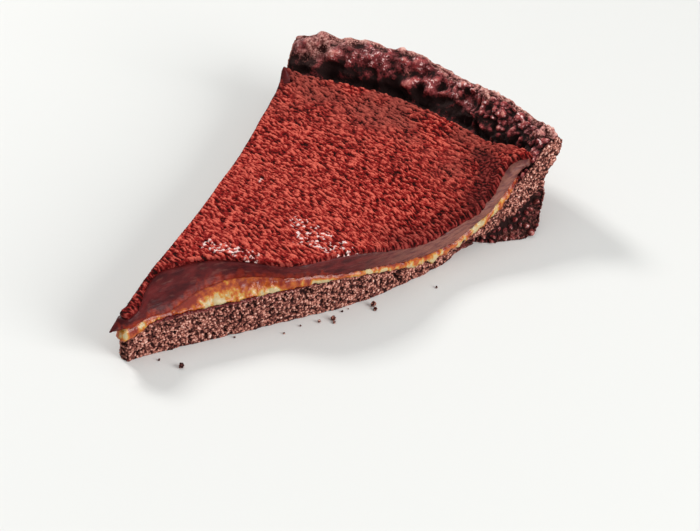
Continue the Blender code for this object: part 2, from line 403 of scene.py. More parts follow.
class Graph:
    """A new material and its node graph. Patterns lie on Object coordinates."""

    def __init__(self, name: str) -> None:
        """Starts a material.

        Args:
            name: the material's name.
        """
        self.material = bpy.data.materials.new(name)
        self.material.use_nodes = True
        self.nodes = self.material.node_tree.nodes
        self.links = self.material.node_tree.links
        self.shader = self.nodes["Principled BSDF"]
        self.place = self.nodes.new("ShaderNodeTexCoord").outputs["Object"]

    def join(self, source: Socket | float | Colour, target: Socket) -> None:
        """Links a socket to another, or sets the other's own value.

        Args:
            source: a socket, a number or a colour.
            target: the socket that takes it.
        """
        if isinstance(source, Socket):
            self.links.new(source, target)
        elif isinstance(source, tuple) and len(source) == 3 and target.type == "RGBA":
            target.default_value = (*source, 1.0)
        else:
            target.default_value = source

    def noise(self, size: float, detail: float, stretch: Triple = (1.0, 1.0, 1.0)) -> Socket:
        """A cloudy pattern.

        Args:
            size: the size of its blots, in millimetres.
            detail: how many finer layers it has.
            stretch: how much longer the blots are along each axis.

        Returns:
            Its value, mostly from 0.3 to 0.7.
        """
        mapping = self.nodes.new("ShaderNodeMapping")
        mapping.vector_type = "POINT"
        mapping.inputs["Scale"].default_value = tuple(1.0 / each for each in stretch)
        texture = self.nodes.new("ShaderNodeTexNoise")
        texture.inputs["Scale"].default_value = 1.0 / (size * MM)
        texture.inputs["Detail"].default_value = detail
        self.links.new(self.place, mapping.inputs["Vector"])
        self.links.new(mapping.outputs["Vector"], texture.inputs["Vector"])
        return texture.outputs["Fac"]

    def cells(self, size: float) -> Socket:
        """A pattern of grains.

        Args:
            size: the size of a grain, in millimetres.

        Returns:
            Its value, 0 in a grain's middle and rising outwards.
        """
        texture = self.nodes.new("ShaderNodeTexVoronoi")
        texture.inputs["Scale"].default_value = 1.0 / (size * MM)
        self.links.new(self.place, texture.inputs["Vector"])
        return texture.outputs["Distance"]

    def attribute(self, name: str) -> Socket:
        """Reads values that a sculpted layer keeps.

        Args:
            name: the attribute's name.

        Returns:
            Its value.
        """
        node = self.nodes.new("ShaderNodeAttribute")
        node.attribute_name = name
        return node.outputs["Fac"]

    def levels(self, value: Socket, low: float, high: float, start: float = 0.0,
               end: float = 1.0) -> Socket:
        """Stretches values from low..high to start..end, and holds them there.

        Args:
            value: what to read.
            low: the value that becomes start.
            high: the value that becomes end.
            start: the first result.
            end: the last result.

        Returns:
            The stretched value.
        """
        node = self.nodes.new("ShaderNodeMapRange")
        for name, number in (("From Min", low), ("From Max", high), ("To Min", start), ("To Max", end)):
            node.inputs[name].default_value = number
        self.links.new(value, node.inputs["Value"])
        return node.outputs["Result"]

    def math(self, operation: str, first: Socket | float, second: Socket | float) -> Socket:
        """Adds, multiplies or compares two values.

        Args:
            operation: Blender's word for it, such as MULTIPLY.
            first: a socket or number.
            second: a socket or number.

        Returns:
            The result.
        """
        node = self.nodes.new("ShaderNodeMath")
        node.operation = operation
        self.join(first, node.inputs[0])
        self.join(second, node.inputs[1])
        return node.outputs["Value"]

    def add(self, first: Socket, second: Socket) -> Socket:
        """The sum of two values."""
        return self.math("ADD", first, second)

    def times(self, first: Socket, second: Socket) -> Socket:
        """The product of two values."""
        return self.math("MULTIPLY", first, second)

    def larger(self, first: Socket, second: Socket) -> Socket:
        """The larger of two values."""
        return self.math("MAXIMUM", first, second)

    def swing(self, pattern: Socket, reach: float) -> Socket:
        """A noise pattern that swings evenly around 0, as far as this either way."""
        return self.levels(pattern, 0.3, 0.7, -reach, reach)

    def mix(self, share: Socket | float, first: Socket | Colour, second: Socket | Colour,
            way: str = "MIX") -> Socket:
        """Mixes two colours.

        Args:
            share: how much of the second there is.
            first: a socket or colour.
            second: a socket or colour.
            way: Blender's word for how the second acts on the first, such as MULTIPLY.

        Returns:
            The mixed colour.
        """
        node = self.nodes.new("ShaderNodeMix")
        node.data_type = "RGBA"
        node.blend_type = way
        self.join(share, node.inputs["Factor"])
        self.join(first, node.inputs["A"])
        self.join(second, node.inputs["B"])
        return node.outputs["Result"]

    def ramp(self, value: Socket, *stops: tuple[float, Colour]) -> Socket:
        """Goes through colours as a value rises.

        Args:
            value: what to read.
            stops: the values and the colours they stand for, from the lowest up.

        Returns:
            The colour.
        """
        colour: Socket | Colour = stops[0][1]
        for (low, _), (high, following) in zip(stops, stops[1:]):
            colour = self.mix(self.levels(value, low, high), colour, following)
        return colour

    def bump(self, height: Socket, depth: float) -> None:
        """Gives the surface fine relief.

        Args:
            height: the pattern, from 0 to 1.
            depth: how deep it is, in millimetres.
        """
        node = self.nodes.new("ShaderNodeBump")
        node.inputs["Distance"].default_value = depth * MM
        node.inputs["Strength"].default_value = 1.0
        self.links.new(height, node.inputs["Height"])
        self.links.new(node.outputs["Normal"], self.shader.inputs["Normal"])

    def finish(self, colour: Socket | Colour, roughness: Socket | float,
               **others: float | tuple[float, ...]) -> bpy.types.Material:
        """Joins the graph to the shader.

        Args:
            colour: the base colour.
            roughness: the roughness.
            others: the shader's other sockets, by name with underscores.

        Returns:
            The material.
        """
        self.join(colour, self.shader.inputs["Base Color"])
        self.join(roughness, self.shader.inputs["Roughness"])
        for name, value in others.items():
            self.shader.inputs[name.replace("_", " ")].default_value = value
        return self.material


@dataclass(frozen=True)
class PastryFinish:
    """Dark chocolate pastry: grains and dark pores where it's cut, and a glossier baked rim.

    Attributes:
        shaded_pore, shade, crumb, grain: the cut's colours, from its holes up, partly the crumb's own and
            partly painted shade in the pores and painted highlights on the grains.
        torn_shaded_pore, torn_crumb, torn_lit_grain: those of the darker torn corner, with painted shade
        in its holes and painted highlights on its beads.
        rim_shaded_hollow, rim, rim_lump, rim_lit_crest: those of the baked rim, with painted shade in its
        creases and painted highlights on its crests.
        painted_glint: a painted highlight, the colour of its small shiny spots.
        dusty_shaded_pore, dust_and_top_light, dust_grain: those of crust with cocoa on it, which also
        paints the rim's top lighter as light; its pores are partly painted shade.
        grain_size, speck_size, mottle_size, painted_glint_size: how large each pattern is, in millimetres.
        glossy, matt: the roughness of the shiniest and the dullest places.
    """

    shaded_pore: Colour = (0.018, 0.002, 0.002)
    shade: Colour = (0.17, 0.045, 0.034)
    crumb: Colour = (0.53, 0.210, 0.152)
    grain: Colour = (0.84, 0.56, 0.47)
    torn_shaded_pore: Colour = (0.010, 0.001, 0.001)
    torn_crumb: Colour = (0.22, 0.022, 0.024)
    torn_lit_grain: Colour = (0.66, 0.26, 0.22)
    rim_shaded_hollow: Colour = (0.008, 0.001, 0.001)
    rim: Colour = (0.16, 0.017, 0.020)
    rim_lump: Colour = (0.36, 0.060, 0.060)
    rim_lit_crest: Colour = (0.62, 0.22, 0.18)
    painted_glint: Colour = (0.86, 0.60, 0.57)
    dusty_shaded_pore: Colour = (0.05, 0.008, 0.007)
    dust_and_top_light: Colour = (0.47, 0.195, 0.162)
    dust_grain: Colour = (0.80, 0.50, 0.42)
    grain_size: float = 0.7
    speck_size: float = 0.45
    mottle_size: float = 3.2
    painted_glint_size: float = 0.9
    glossy: float = 0.12
    matt: float = 0.9

    def material(self) -> bpy.types.Material:
        """Builds the material.

        Returns:
            The material, for a layer that keeps relief, cut, torn, deep and dust_and_top_light.
        """
        graph = Graph("chocolate_pastry")
        cut = graph.attribute("cut")
        speck = graph.noise(self.speck_size, 2.0)
        mottle = graph.noise(self.mottle_size, 3.0)
        relief = graph.attribute("relief")
        grains = graph.levels(graph.cells(self.grain_size), 0.15, 0.65, 0.8, -0.5)
        fine = graph.add(relief, graph.add(grains, graph.swing(speck, 0.5)))
        even = graph.add(relief, graph.swing(speck, 0.3))
        # The cut's colours follow its relief: partly the crumb's own colours, partly painted shade in its
        # pores and painted highlights on its grains.
        crumb = graph.ramp(
            fine, (-1.1, self.shaded_pore), (-0.45, self.shade), (0.15, self.crumb), (1.1, self.grain)
        )
        # Painted shade in the torn corner's holes and painted highlights on its coarse beads.
        torn = graph.ramp(even, (-0.5, self.torn_shaded_pore), (0.2, self.torn_crumb), (1.2, self.torn_lit_grain))
        crumb = graph.mix(graph.attribute("torn"), crumb, torn)
        # The rim's baked colours, painted darker in its creases and lighter on its crests as shade and
        # highlights.
        baked_shaded = graph.ramp(
            even, (-0.65, self.rim_shaded_hollow), (0.0, self.rim), (0.5, self.rim_lump), (1.2, self.rim_lit_crest)
        )
        # Cocoa dust on the crust, which on the rim's top also stands in for light: painted light.
        dust_and_light_share = graph.times(graph.attribute("dust_and_top_light"), graph.levels(mottle, 0.28, 0.5))
        powder = graph.ramp(fine, (-0.9, self.dusty_shaded_pore), (-0.1, self.dust_and_top_light), (1.0, self.dust_grain))
        colour = graph.mix(cut, graph.mix(dust_and_light_share, baked_shaded, powder), crumb)
        matt = graph.larger(graph.math("SUBTRACT", cut, graph.attribute("torn")), dust_and_light_share)
        matt = graph.larger(matt, graph.attribute("deep"))
        graph.bump(speck, 0.4)
        # Painted highlights: small pale glints on the shinier crests.
        spots = graph.levels(graph.noise(self.painted_glint_size, 2.0), 0.55, 0.64)
        painted_glint_share = graph.times(spots, graph.levels(mottle, 0.40, 0.54))
        painted_glint_share = graph.times(painted_glint_share, graph.levels(even, -0.1, 0.4))
        painted_glint_share = graph.times(painted_glint_share, graph.levels(matt, 0.0, 0.5, 1.0, 0.0))
        colour = graph.mix(painted_glint_share, colour, self.painted_glint)
        matt = graph.larger(matt, graph.levels(even, 0.3, -0.6))
        roughness = graph.levels(matt, 0.0, 0.8, self.glossy, self.matt)
        return graph.finish(
            colour, roughness, Specular_IOR_Level=0.34, Specular_Tint=(1.0, 0.78, 0.74, 1.0)
        )


@dataclass(frozen=True)
class CreamFinish:
    """Pale cream cheese, stained from yellow to dark red towards the ganache that bled into it.

    Attributes:
        pale, yellow, orange, red: its colours, from clean cream to where the ganache begins.
        streak_size, patch_size: how large the stain's two patterns are, in millimetres.
        roughness: how matt it is.
        glow_depth: how deep light goes into it, in millimetres.
    """

    pale: Colour = (0.48, 0.37, 0.195)
    yellow: Colour = (0.50, 0.240, 0.036)
    orange: Colour = (0.42, 0.082, 0.007)
    red: Colour = (0.21, 0.016, 0.005)
    streak_size: float = 1.9
    patch_size: float = 5.0
    roughness: float = 0.28
    glow_depth: float = 1.5

    def material(self) -> bpy.types.Material:
        """Builds the material.

        Returns:
            The material, for a layer that keeps stain.
        """
        graph = Graph("cream_cheese_layer")
        streaks = graph.noise(self.streak_size, 3.0, DRIP_STRETCH)
        patches = graph.levels(graph.noise(self.patch_size, 1.0), 0.35, 0.65, -0.22, 0.22)
        stain = graph.add(graph.attribute("stain"), graph.add(graph.swing(streaks, 0.62), patches))
        colour = graph.ramp(
            stain, (-0.15, self.pale), (0.10, self.yellow), (0.46, self.orange), (1.0, self.red)
        )
        graph.bump(streaks, 0.3)
        return graph.finish(
            colour, self.roughness,
            Subsurface_Weight=0.15, Subsurface_Scale=self.glow_depth * MM, Specular_IOR_Level=0.4,
        )


@dataclass(frozen=True)
class GanacheFinish:
    """Dark ganache, satin where the knife drew through it, and redder at its foot where it's thin.

    Attributes:
        dark, warm: the colours of its smooth face.
        sheen_dim, dry: painted sheen, a lighter face towards the rim where the front cut catches the
            light; dry also paints light streaks on the smooth face.
        red, orange: those of its foot.
        drag_size, line_size, streak_size: how large each pattern is, in millimetres.
        satin, matt: the roughness of the shiniest and the dullest places.
    """

    dark: Colour = (0.045, 0.005, 0.006)
    warm: Colour = (0.108, 0.011, 0.011)
    sheen_dim: Colour = (0.11, 0.033, 0.032)
    dry: Colour = (0.205, 0.076, 0.057)
    red: Colour = (0.20, 0.016, 0.006)
    orange: Colour = (0.40, 0.075, 0.009)
    drag_size: float = 1.6
    line_size: float = 0.7
    streak_size: float = 1.9
    satin: float = 0.32
    matt: float = 0.48

    def material(self) -> bpy.types.Material:
        """Builds the material.

        Returns:
            The material, for a layer that keeps far and foot.
        """
        graph = Graph("chocolate_ganache_layer")
        drag = graph.noise(self.drag_size, 3.0, (3.0, 2.0, 0.7))
        lines = graph.noise(self.line_size, 3.0, (5.0, 3.0, 0.8))
        streaks = graph.noise(self.streak_size, 3.0, DRIP_STRETCH)
        colour = graph.mix(graph.levels(drag, 0.35, 0.65), self.dark, self.warm)
        # Painted sheen: light streaks along the knife's drag lines.
        colour = graph.mix(graph.levels(lines, 0.58, 0.72, 0.0, 0.3), colour, self.dry)
        # Painted sheen: the front cut painted lighter towards the rim, where it catches the light.
        painted_sheen = graph.mix(graph.levels(lines, 0.36, 0.56), self.sheen_dim, self.dry)
        colour = graph.mix(graph.attribute("far"), colour, painted_sheen)
        foot = graph.add(graph.attribute("foot"), graph.swing(streaks, 0.42))
        colour = graph.mix(graph.levels(foot, 0.35, 0.95), colour, self.red)
        colour = graph.mix(graph.levels(foot, 1.0, 1.45), colour, self.orange)
        graph.bump(lines, 0.25)
        roughness = graph.levels(drag, 0.3, 0.7, self.satin, self.matt)
        return graph.finish(colour, roughness, Specular_IOR_Level=0.14)


@dataclass(frozen=True)
class CocoaFinish:
    """Red-brown cocoa powder in ripples, painted darker in their hollows and lighter on their crests as
    shade and light, darkened along its edges, with painted glints in a few wet spots.

    Attributes:
        shaded_hollow, shade, powder, lit_crest: its colours, from between the ripples up, with painted
            shade in the hollows and painted highlights on the crests.
        thin: that of the thin powder towards the rim.
        darkening: what the powder's colour is multiplied by where it is darkened, which on the drooping
            front edge is painted shade.
        painted_glint: a painted highlight on the wet spots.
        speck_size, broad_size: how large each pattern is, in millimetres.
        wet_glint, dry: the roughness of the wet spots and of the powder.
    """

    shaded_hollow: Colour = (0.012, 0.001, 0.001)
    shade: Colour = (0.10, 0.003, 0.003)
    powder: Colour = (0.25, 0.011, 0.010)
    lit_crest: Colour = (0.66, 0.122, 0.082)
    thin: Colour = (0.27, 0.062, 0.046)
    darkening: Colour = (0.32, 0.25, 0.32)
    painted_glint: Colour = (0.88, 0.68, 0.63)
    speck_size: float = 0.5
    broad_size: float = 14.0
    wet_glint: float = 0.25
    dry: float = 0.85

    def material(self) -> bpy.types.Material:
        """Builds the material.

        Returns:
            The material, for a layer that keeps relief, thin, darkening and wet_glint.
        """
        graph = Graph("cocoa_dusting")
        speck = graph.noise(self.speck_size, 2.0)
        broad = graph.noise(self.broad_size, 2.0)
        fine = graph.add(graph.attribute("relief"), graph.swing(speck, 0.45))
        # Painted shade between the ripples and painted highlights on their crests.
        colour = graph.ramp(
            fine, (-0.8, self.shaded_hollow), (-0.4, self.shade), (0.2, self.powder), (1.0, self.lit_crest)
        )
        thin = graph.times(graph.attribute("thin"), graph.levels(broad, 0.38, 0.6, 0.0, 0.7))
        thin = graph.times(thin, graph.levels(fine, -0.7, 0.0))
        colour = graph.mix(thin, colour, self.thin)
        # Darkens the powder along its edges and in a few spots; over the drooping front edge this is
        # painted shade.
        colour = graph.mix(graph.attribute("darkening"), colour, self.darkening, "MULTIPLY")
        wet_glint = graph.attribute("wet_glint")
        # Painted highlights: pale glints on the wet spots.
        colour = graph.mix(wet_glint, colour, self.painted_glint)
        graph.bump(speck, 0.2)
        roughness = graph.levels(wet_glint, 0.0, 1.0, self.dry, self.wet_glint)
        return graph.finish(
            colour, roughness, Specular_IOR_Level=0.15, Specular_Tint=(1.0, 0.45, 0.40, 1.0)
        )


# ---- The layers ----


@dataclass
class Layer:
    """One layer of the slice, modelled over its solid.

    Attributes:
        tip: the slice's tip, in metres.
        node: the solid it stands for.
        name: the piece's name.
        slot: the material slot meant for its finish; not used.
        finish: what it is dressed in.
        grain: the edge of a remeshed face, in millimetres.
        smoothing: how often the remeshed surface is smoothed.
    """

    tip: np.ndarray
    node: Node
    name: str
    slot: str
    finish: PastryFinish | CreamFinish | GanacheFinish | CocoaFinish
    grain: float
    smoothing: int

    def start(self) -> Sculpt:
        """Copies the solid and remeshes it finely, with its facets smoothed away.

        Returns:
            The mesh to sculpt.
        """
        piece = merged_copy(self.node, self.name)
        apply_modifier(piece, "REMESH", mode="VOXEL", voxel_size=self.grain * MM)
        apply_modifier(piece, "SMOOTH", factor=0.5, iterations=self.smoothing)
        return Sculpt(piece, self.tip)

    def shape(self, work: Sculpt) -> np.ndarray:
        """Sculpts the layer.

        Args:
            work: the mesh, remeshed and smoothed.

        Returns:
            True for each point that doesn't show.
        """
        raise NotImplementedError

    def build(self) -> bpy.types.Object:
        """Models and dresses the layer, and hides the solid it stands for.

        Returns:
            The finished piece.
        """
        work = self.start()
        hidden = self.shape(work)
        work.thin_out(hidden)
        piece = work.piece
        piece.data.materials.append(self.finish.material())
        pick(piece)
        bpy.ops.object.shade_smooth()
        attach(piece, "root")
        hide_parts(self.node.value)
        return piece

    def away_from(self, points: np.ndarray, *nodes: Node) -> np.ndarray:
        """How far points are from other solids of the slice.

        Args:
            points: places in millimetres from the tip.
            nodes: the solids to measure to.

        Returns:
            The distance to the nearest of them, in millimetres, for each point.
        """
        nearest = np.full(len(points), np.inf)
        for node in nodes:
            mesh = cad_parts[node.value].data
            faces = [face.vertices[:] for face in mesh.polygons]
            tree = BVHTree.FromPolygons([vertex.co for vertex in mesh.vertices], faces)
            places = (Vector(place) for place in points * MM + self.tip)
            found = np.array([tree.find_nearest(place)[3] for place in places])
            nearest = np.minimum(nearest, found / MM)
        return nearest


@dataclass
class Crust(Layer):
    """The chocolate crust: a crumbly base with a thick hand-pressed rim. Sizes are in millimetres.

    Attributes:
        grain_size, pore_size: how large the grains and pores of the cuts are.
        crumb_depth, pore_depth: how far they stand out and go in.
        torn_depth: how rough the torn front corner is.
        lump_height, fold_height: how high the rim's lumps are, and how deep its folds.
        chunk_height: how far chunks stand out where the rim crumbles, towards the front.
        undercut: how far the rim's foot goes in beside the filling.
        marks: the rim's largest lumps and hollows.
        dusty_end: where cocoa fell on the rim.
        breaks: where bits broke out of the front cut.
    """

    node: Node = Node.CRUST
    name: str = "crust_crumb"
    slot: str = "chocolate_crust"
    finish: PastryFinish = PastryFinish()
    grain: float = 0.36
    smoothing: int = 6
    grain_size: float = 0.8
    pore_size: float = 0.95
    crumb_depth: float = 0.28
    pore_depth: float = 0.6
    torn_depth: float = 1.1
    lump_height: float = 1.8
    fold_height: float = 0.4
    chunk_height: float = 0.8
    undercut: float = 1.5
    marks: tuple[Mark, ...] = (
        Mark((120.0, 35.0, 22.0), (133.0, 29.0, 23.5), 1.6, 1.8),
        Mark((119.0, 34.5, 19.0), (121.0, 27.0, 19.0), 2.2, -1.6),
        Mark((126.5, 31.0, 21.0), (128.0, 27.5, 20.5), 2.2, -2.4),
        Mark((125.5, 19.5, 19.5), (126.5, 15.5, 20.0), 2.2, 1.6),
        Mark((130.0, 12.0, 18.0), (131.0, 8.0, 18.0), 2.0, -1.8),
        Mark((128.0, 10.5, 20.0), (136.0, 5.0, 21.5), 1.3, 1.5),
        Mark((134.0, 0.0, 20.5), (136.5, 0.5, 18.5), 1.5, 1.7),
        Mark((137.0, -3.5, 21.5), (138.0, -5.5, 21.0), 1.8, -2.4),
        Mark((138.5, 11.5, 23.0), (138.5, 11.5, 23.5), 2.2, 1.3),
        Mark((140.0, 13.4, 26.0), (140.0, 13.4, 26.5), 0.9, 1.6),
        Mark((137.0, -9.0, 23.5), (139.0, -13.0, 23.5), 1.3, 1.6),
        Mark((134.0, -9.5, 20.0), (133.5, -18.0, 19.5), 2.6, -1.5),
    )
    dusty_end: Mark = Mark((128.0, 38.0, 23.0), (134.0, 32.0, 26.0), 4.0, 0.7)
    breaks: tuple[Mark, ...] = (
        Mark((44.9, -23.9, 8.2), (46.2, -24.5, 7.8), 0.9, -2.2),
        Mark((71.8, -34.2, 4.4), (74.2, -34.9, 1.2), 0.6, -2.2),
        Mark((72.6, -34.5, 4.9), (75.0, -35.0, 4.6), 0.6, -1.6),
    )

    def torn(self, points: np.ndarray) -> np.ndarray:
        """How torn the front cut is.

        Args:
            points: one place a row.

        Returns:
            For each point 1 on the dark corner below the crust's pale band, and 0 away from it.
        """
        x, y, z = points.T
        radius = np.hypot(x, y)
        below_band = 1.0 + 0.36 * (radius - FRONT_CORNER[0]) - z + 0.8 * soft_noise(points, 4.0)
        return smoothstep(0.0, 1.6, below_band) * smoothstep(FRONT_CORNER[0], 111.0, radius) * (y < 0.0)

    def crumbs(self, points: np.ndarray) -> np.ndarray:
        """The crumb of a cut.

        Args:
            points: one place a row.

        Returns:
            One value for each point, from about -1 in a pore to 1 on a grain.
        """
        grains = 0.5 * crumb_noise(points, self.grain_size) + 0.8 * soft_noise(points, 0.8, 31.0)
        pores = smoothstep(-0.17, -0.32, soft_noise(points, self.pore_size, 17.0))
        return blend(np.clip(grains, -1.0, 1.0), -1.3, pores)

    def rim_relief(self, points: np.ndarray) -> np.ndarray:
        """The rim's lumps and folds, with crags where it crumbles towards the front.

        Args:
            points: one place a row.

        Returns:
            How far each point stands out, in millimetres.
        """
        x, y, _ = points.T
        angle = np.degrees(np.arctan2(y, x)) + 9.0 * soft_noise(points, 9.0, 2.0)
        crumbly = 0.2 + 0.8 * smoothstep(-1.0, -7.0, angle)
        lumps = self.lump_height * soft_noise(points, 5.0, 3.0) + 0.4 * soft_noise(points, 1.8, 21.0)
        folds = -self.fold_height * crag_noise(drawn_out(points, 75.0, 1.8), 4.5, 13.0)
        chunks = self.chunk_height * (crumb_noise(points, 4.0, 5.0) + 0.6 * crumb_noise(points, 1.9, 11.0))
        return blend(lumps + folds, 0.5 * lumps + chunks, crumbly)

    def shape(self, work: Sculpt) -> np.ndarray:
        """Sculpts the crumbs of the cuts and the lumps and crags of the rim.

        Args:
            work: the mesh, remeshed and smoothed.

        Returns:
            True for each point that doesn't show.
        """
        points = work.points.copy()
        x, y, z = points.T
        radius = work.radius()
        outwards, _, upwards = work.facings()
        cut = work.cuts(0.45, 0.8)
        filling = self.away_from(points, Node.CREAM, Node.GANACHE)
        torn = self.torn(points) * cut
        open_air = np.maximum(cut, smoothstep(0.3, 1.1, filling))
        above_floor = smoothstep(0.1, 0.5, z) * (upwards > -0.7)
        crumbs = self.crumbs(points)
        coarse = crumb_noise(points, 1.8, 7.0)
        rim = smoothstep(6.0, 13.0, z) * smoothstep(104.0, 118.0, radius) * (1.0 - cut)
        inner = rim * smoothstep(0.35, -0.2, outwards - 0.4 * upwards)
        angle = np.degrees(np.arctan2(y, x))
        foot = inner * smoothstep(3.6, 1.2, filling) * smoothstep(-18.5, -15.5, angle)
        # Painted shade: the rim's inner wall is painted darker towards the filling, where it lies in
        # shade.
        low = inner * smoothstep(8.5, 1.5, filling) * smoothstep(-19.0, -15.0, angle)
        rim_relief = self.rim_relief(points) + lift_all(self.marks, points)
        broken = lift_all(self.breaks, points)
        fine = self.crumb_depth * crumbs + self.pore_depth * np.minimum(crumbs + 0.6, 0.0)
        relief = cut * (1.0 - 0.8 * torn) * fine
        relief += torn * self.torn_depth * coarse
        rim_height = rim * blend(0.4, 1.0, inner) * rim_relief
        relief += rim_height - self.undercut * foot + cut * broken
        relief += (1.0 - cut) * (1.0 - rim) * 0.2 * crumbs
        work.lift(relief * open_air * above_floor)
        inside = blend(crumbs, coarse, torn) + 0.4 * broken
        # Painted shade and light for the rim's colour: how far each point stands above its surroundings,
        # darker in creases and lighter on crests, less the painted shade of its foot.
        crease_shade_and_crest_light = 2.0 * (rim_height - work.spread(rim_height, 40)) + 0.3 * crumbs
        work.keep("relief", blend(crease_shade_and_crest_light - low, inside, cut))
        work.keep("deep", low)
        work.keep("cut", cut)
        work.keep("torn", torn)
        # Dust on the rim's top faces and its outer wall; on the top it also paints light.
        top = 0.8 * rim * smoothstep(-0.6, -0.1, outwards - 0.4 * upwards) * smoothstep(0.0, 0.7, upwards)
        wall = 0.7 * (1.0 - cut) * smoothstep(0.3, 0.7, outwards)
        work.keep("dust_and_top_light", np.clip(top + wall + rim * self.dusty_end.lift(points), 0.0, 1.0))
        return (above_floor < 0.01) & (z < 0.3) | (filling < 0.8) & (cut < 0.05)


@dataclass
class CreamLayer(Layer):
    """The cream cheese layer, smeared a little over the crust at the cuts. Sizes are in millimetres.

    Attributes:
        swell: how far it stands out everywhere.
        smear: how high the smears on its cuts are.
        ragged: how far its lower edge hangs down.
        sink: how far it goes in below the ganache.
        corner_fill: how far it stands out at the torn front corner.
        stains: where the ganache bled into it.
        drips: where it ran down over the crust.
        pale_spots: where it stayed clean.
    """

    node: Node = Node.CREAM
    name: str = "cream_layer"
    slot: str = "cream_cheese"
    finish: CreamFinish = CreamFinish()
    grain: float = 0.36
    smoothing: int = 6
    swell: float = 0.20
    smear: float = 0.30
    ragged: float = 0.9
    sink: float = 0.55
    corner_fill: float = 1.0
    stains: tuple[Mark, ...] = (
        Mark((19.4, -11.0, 14.0), (18.0, -10.2, 10.6), 1.6, 1.1),
        Mark((28.0, -15.1, 14.5), (26.6, -14.4, 11.0), 1.3, 1.2),
        Mark((31.0, -16.6, 13.6), (29.8, -16.0, 11.4), 0.8, 0.40),
        Mark((41.0, -22.0, 12.6), (40.0, -21.4, 11.0), 0.8, 0.35),
        Mark((28.0, -15.4, 10.6), (46.0, -24.6, 9.8), 1.5, 0.35),
    )
    drips: tuple[Mark, ...] = (
        Mark((86.0, -37.3, 4.2), (86.0, -37.3, 4.2), 1.5, 1.6),
        Mark((78.0, -35.5, 5.0), (78.0, -35.5, 5.0), 1.0, 0.8),
        Mark((94.0, -39.0, 5.5), (94.0, -39.0, 5.5), 1.2, 0.9),
    )
    pale_spots: tuple[Mark, ...] = (
        Mark((1.4, -2.0, 13.1), (0.0, -1.6, 9.0), 1.0, 1.2),
        Mark((2.5, -2.6, 10.6), (10.0, -5.8, 10.4), 0.9, 0.9),
        Mark((22.8, -12.4, 16.0), (24.2, -12.8, 11.2), 1.6, 1.8),
        Mark((34.0, -18.4, 11.4), (38.0, -19.6, 10.4), 1.0, 0.8),
        Mark((47.5, -25.6, 10.0), (51.5, -27.0, 9.9), 1.1, 1.2),
        Mark((86.0, -37.4, 4.0), (88.0, -37.8, 4.4), 1.0, 0.5),
        Mark((100.0, -40.0, 8.0), (113.0, -42.5, 16.0), 0.8, 0.9),
    )

    def shape(self, work: Sculpt) -> np.ndarray:
        """Sculpts the soft smeared face of the cream.

        Args:
            work: the mesh, remeshed and smoothed.

        Returns:
            True for each point that doesn't show.
        """
        points = work.points.copy()
        radius = work.radius()
        cut = work.cuts(0.35, 0.7)
        corner = cut * work.front_corner()
        above = self.away_from(points, Node.GANACHE)
        below = self.away_from(points, Node.CRUST)
        smears = soft_noise(points, 2.6) + 0.5 * soft_noise(points, 1.1, 4.0)
        far = smoothstep(78.0, 92.0, radius)
        border = cut * smoothstep(1.3, 0.5, above)
        drips = (0.35 + soft_noise(points, 1.6, 8.0)) * (1.0 + far) + lift_all(self.drips, points)
        work.points[:, 2] -= cut * smoothstep(1.4, 0.3, below) * self.ragged * drips
        smeared = cut * (1.0 - border) * self.smear * (smears + 0.9 * far)
        work.lift(self.swell + smeared - self.sink * border + self.corner_fill * corner)
        reach = blend(4.6, 2.0, smoothstep(40.0, 72.0, radius))
        pale = np.clip(lift_all(self.pale_spots, points), 0.0, 1.4)
        amber = 0.6 * far * smoothstep(1.0, 0.2, below) + lift_all(self.stains, points)
        work.keep("stain", 1.0 - smoothstep(0.0, 1.0, above / reach) + amber - pale)
        return cut < 0.04


@dataclass
class GanacheLayer(Layer):
    """The ganache, drawn out smoothly by the knife near the tip. Sizes are in millimetres.

    Attributes:
        swell: how far it stands out where no cocoa lies on it.
        waves: how high the knife's drag marks are.
        feather: how far its thin lower edge goes in.
        skirt: how far that edge hangs over the cream.
        corner_fill: how far it stands out at the torn front corner.
        peak_place: where it was pulled up to a small peak, at the back corner.
        peak_shift: how far the peak's top was pulled.
    """

    node: Node = Node.GANACHE
    name: str = "ganache_layer"
    slot: str = "chocolate_ganache"
    finish: GanacheFinish = GanacheFinish()
    grain: float = 0.36
    smoothing: int = 8
    swell: float = 0.16
    waves: float = 0.16
    feather: float = 0.2
    skirt: float = 1.0
    corner_fill: float = 1.2
    peak_place: Mark = Mark((117.6, 38.8, 16.5), (117.8, 39.4, 17.8), 1.1, 1.0)
    peak_shift: Triple = (0.0, 0.6, 2.4)

    def shape(self, work: Sculpt) -> np.ndarray:
        """Sculpts the knife's drag marks and the peak at the back corner.

        Args:
            work: the mesh, remeshed and smoothed.

        Returns:
            True for each point that doesn't show.
        """
        points = work.points.copy()
        radius = work.radius()
        cut = work.cuts(0.2, 0.5)
        below = self.away_from(points, Node.CREAM)
        above = self.away_from(points, Node.COCOA)
        corner = cut * work.front_corner() * smoothstep(0.6, 1.6, above)
        drag = soft_noise(points * (0.35, 0.35, 1.0), 1.5) + 0.6 * soft_noise(points, 3.0, 6.0)
        foot = cut * smoothstep(1.6, 0.3, below)
        peak = self.peak_place.lift(points)
        work.points[:, 2] -= foot * self.skirt * (0.8 + 0.8 * soft_noise(points, 1.5, 2.0))
        work.points += peak[:, None] * np.array(self.peak_shift)
        waves = cut * (1.0 - foot) * self.waves * drag
        feather = cut * smoothstep(0.8, 0.1, below) * self.feather
        work.lift(self.swell * (above > 0.6) + waves - feather + self.corner_fill * corner)
        reach = blend(2.6, 0.8, smoothstep(48.0, 70.0, radius))
        work.keep("foot", cut * (1.0 - smoothstep(0.1, 1.0, below / reach)))
        # Where the finish paints a lighter sheen on the front cut, towards the rim.
        work.keep("far", smoothstep(60.0, 98.0, radius) * smoothstep(5.0, -5.0, points[:, 1]))
        return (cut < 0.04) & (peak < 0.02)


